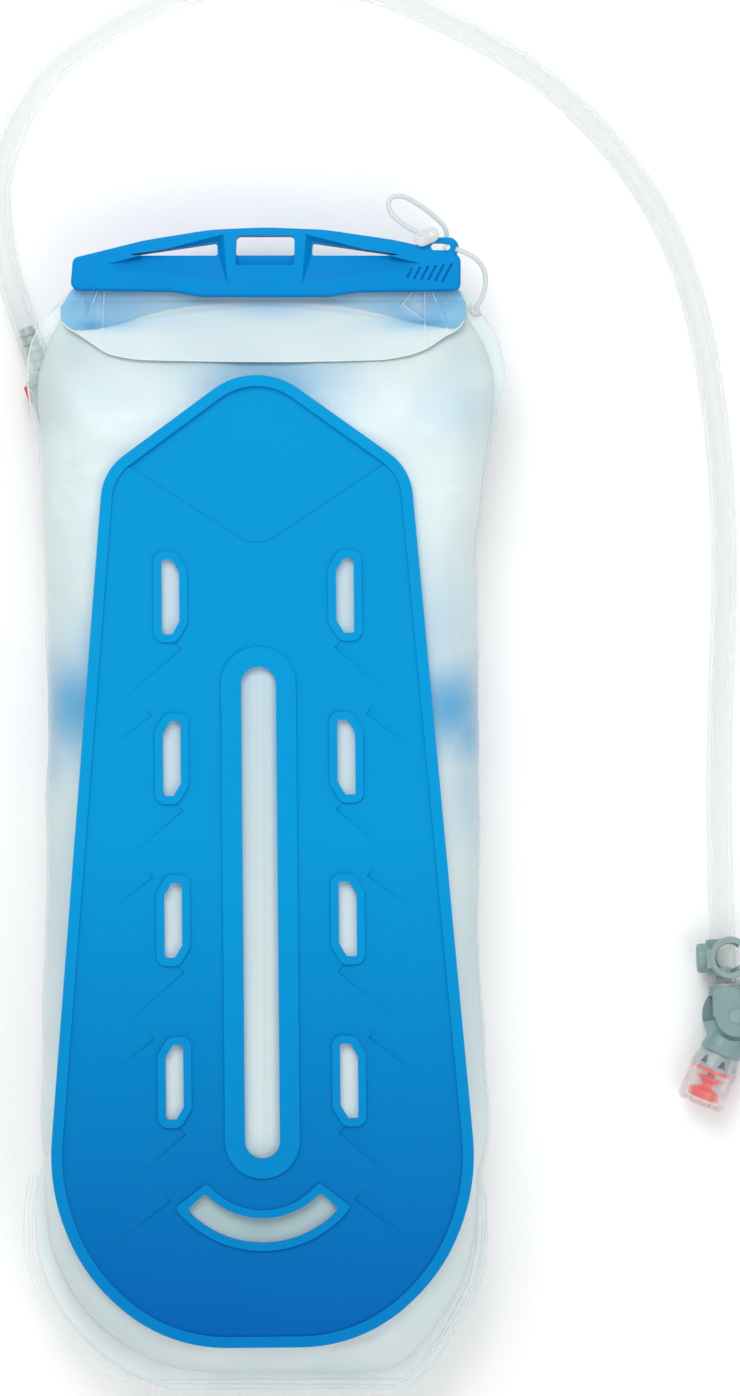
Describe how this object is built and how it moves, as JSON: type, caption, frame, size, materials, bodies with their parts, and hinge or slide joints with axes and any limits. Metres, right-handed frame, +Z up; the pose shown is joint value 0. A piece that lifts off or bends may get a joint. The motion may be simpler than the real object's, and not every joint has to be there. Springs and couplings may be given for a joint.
{
  "type": "hydration bladder",
  "caption": "Soft drinking-water reservoir with a slide-seal mouth, stiff back plate, plug-in hose, magnet clip and swivelling bite valve.",
  "frame": {"origin": "middle of the bag's and slider's footprint, on the surface that the bag lies on", "axes": "+X across the bag to the hose's valve side, +Y along the bag towards its mouth, +Z up through the backer plate"},
  "size_m": [0.2877, 0.5234, 0.0592],
  "materials": {
    "film": "frosted clear film, soft sheen",
    "mouth_film": "two frosted clear films",
    "mouth_strip": "translucent blue film",
    "backer_plate": "satin moulded, fine grain",
    "slider": "satin moulded",
    "mouth_rail": "satin",
    "tether": "clear, glossy",
    "port": "frosted",
    "port_seal": "satin",
    "poppet": "satin",
    "spring_steel": "drawn wire",
    "coupling": "satin moulded",
    "release_button": "satin gloss",
    "hose": "clear, glossy",
    "clip": "satin moulded",
    "magnet": "nickel plated",
    "valve_body": "satin moulded",
    "pivot_pin": "satin",
    "bite_sheath": "clear silicone",
    "valve_red": "satin"
  },
  "bodies": {
    "reservoir": {"front_film": "film", "back_film": "film", "center_baffle": "film", "backer_plate": "backer_plate", "mouth_rail_front": "mouth_rail", "mouth_rail_back": "mouth_rail", "mouth_flap": "mouth_film", "mouth_strip": "mouth_strip", "tether": "tether", "tether_anchor": "tether", "port_base": "port", "port_seal": "port_seal", "poppet_guide": "port", "poppet_spring": "spring_steel"},
    "slider": {"slider_bar": "slider", "tether_head": "tether"},
    "hose_line": {"hose": "hose", "coupling_body": "coupling", "hose_barb": "coupling", "button_spring": "spring_steel", "valve_barb": "valve_body", "valve_body": "valve_body", "pivot_pin": "pivot_pin"},
    "button": {"release_button": "release_button"},
    "clip": {"clip_ring": "clip", "magnet": "magnet", "magnet_cap": "clip"},
    "spout": {"spout": "valve_body", "valve_collar": "valve_body", "seal_disc": "valve_red", "bite_sheath": "bite_sheath"},
    "plunger": {"plunger": "valve_red"},
    "poppet": {"port_poppet": "poppet"}
  },
  "joints": [
    {"name": "slider_slide", "type": "slide", "parent": "reservoir", "child": "slider", "axis": [1, 0, 0], "range_m": [0, 0.145], "deforming": ["tether"]},
    {"name": "coupling_unplug", "type": "slide", "parent": "reservoir", "child": "hose_line", "axis": [-0.3584, 0.9336, 0], "range_m": [0, 0.022]},
    {"name": "poppet_close", "type": "slide", "parent": "reservoir", "child": "poppet", "axis": [-0.3584, 0.9336, 0], "range_m": [0, 0.0016], "deforming": ["poppet_spring"]},
    {"name": "button_press", "type": "slide", "parent": "hose_line", "child": "button", "axis": [0.9336, 0.3584, 0], "range_m": [0, 0.0012], "stiffness_N_per_m": 2000, "deforming": ["button_spring"]},
    {"name": "clip_slide", "type": "slide", "parent": "hose_line", "child": "clip", "axis": [-0.04, 0.9992, 0], "range_m": [0, 0.012]},
    {"name": "valve_swivel", "type": "hinge", "parent": "hose_line", "child": "spout", "pos_m": [0.17248, -0.07534, 0.0093], "axis": [0, 0, -1], "range_deg": [-24.5, 47]},
    {"name": "plunger_lift", "type": "slide", "parent": "spout", "child": "plunger", "axis": [0.378, 0.9258, 0], "range_m": [0, 0.0015], "stiffness_N_per_m": 600}
  ],
  "couplings": [
    {"joint": "poppet_close", "follows": "coupling_unplug", "ratio": 0.068}
  ]
}
